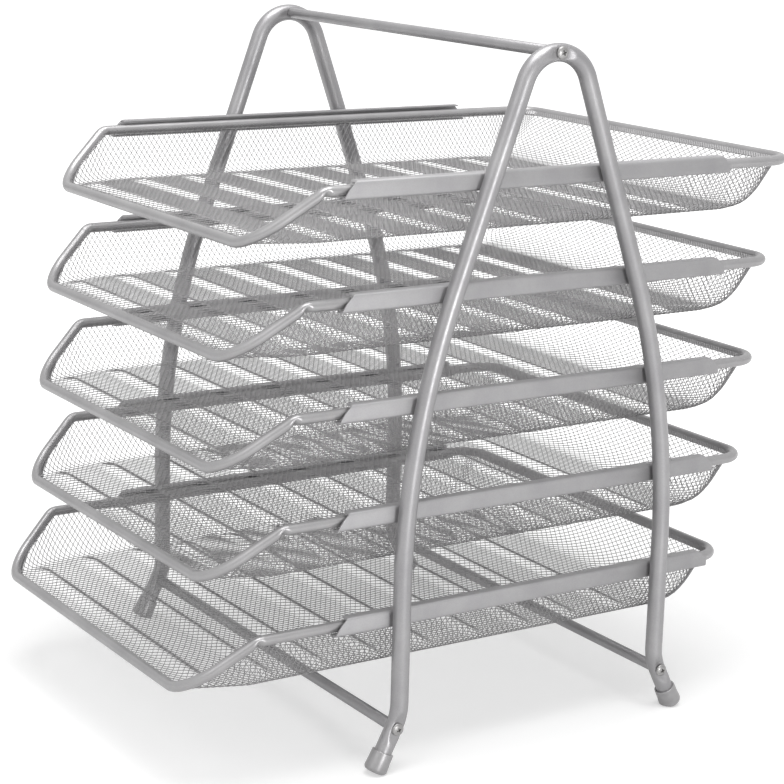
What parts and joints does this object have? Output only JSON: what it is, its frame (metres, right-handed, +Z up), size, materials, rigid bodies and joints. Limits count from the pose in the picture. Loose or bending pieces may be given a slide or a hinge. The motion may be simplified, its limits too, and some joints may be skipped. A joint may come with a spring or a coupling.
{
  "type": "mesh desk organizer",
  "caption": "Silver mesh desk organizer: expanded-metal letter trays slide on folded rails between bent tube side frames joined by a carrying handle and cross bars.",
  "frame": {"origin": "on the desk, under the middle of the organizer's bounding box as pictured", "axes": "X runs along the handle, to the organizer's right as seen from the front; Y runs to the back, away from the low tray lips; Z is up"},
  "size_m": [0.2996, 0.3975, 0.394],
  "materials": {
    "frame_paint": "satin silver paint",
    "rail_paint": "satin silver paint",
    "rim_paint": "satin silver paint",
    "mesh_paint": "satin silver paint",
    "screw_zinc": "bright zinc plate",
    "cap_plastic": "moulded grey"
  },
  "bodies": {
    "frame": {"right_side_frame": "frame_paint", "left_side_frame": "frame_paint", "handle_bar": "frame_paint", "front_cross_bar": "frame_paint", "rear_cross_bar": "frame_paint", "right_handle_screw": "screw_zinc", "right_front_screw": "screw_zinc", "right_rear_screw": "screw_zinc", "left_handle_screw": "screw_zinc", "left_front_screw": "screw_zinc", "left_rear_screw": "screw_zinc", "right_front_foot_cap": "cap_plastic", "right_rear_foot_cap": "cap_plastic", "left_front_foot_cap": "cap_plastic", "left_rear_foot_cap": "cap_plastic", "right_rail_1": "rail_paint", "right_rail_2": "rail_paint", "right_rail_3": "rail_paint", "right_rail_4": "rail_paint", "right_rail_5": "rail_paint", "left_rail_1": "rail_paint", "left_rail_2": "rail_paint", "left_rail_3": "rail_paint", "left_rail_4": "rail_paint", "left_rail_5": "rail_paint"},
    "tray_1": {"tray_1_rim": "rim_paint", "tray_1_basket": "mesh_paint"},
    "tray_2": {"tray_2_rim": "rim_paint", "tray_2_basket": "mesh_paint"},
    "tray_3": {"tray_3_rim": "rim_paint", "tray_3_basket": "mesh_paint"},
    "tray_4": {"tray_4_rim": "rim_paint", "tray_4_basket": "mesh_paint"},
    "tray_5": {"tray_5_rim": "rim_paint", "tray_5_basket": "mesh_paint"}
  },
  "joints": [
    {"name": "tray_1_slide", "type": "slide", "parent": "frame", "child": "tray_1", "axis": [0, -1, 0], "range_m": [-0.0034, 0.1966]},
    {"name": "tray_2_slide", "type": "slide", "parent": "frame", "child": "tray_2", "axis": [0, -1, 0], "range_m": [-0.0141, 0.1859]},
    {"name": "tray_3_slide", "type": "slide", "parent": "frame", "child": "tray_3", "axis": [0, -1, 0], "range_m": [-0.0198, 0.1802]},
    {"name": "tray_4_slide", "type": "slide", "parent": "frame", "child": "tray_4", "axis": [0, -1, 0], "range_m": [-0.0258, 0.1742]},
    {"name": "tray_5_slide", "type": "slide", "parent": "frame", "child": "tray_5", "axis": [0, -1, 0], "range_m": [-0.04, 0.16]}
  ]
}
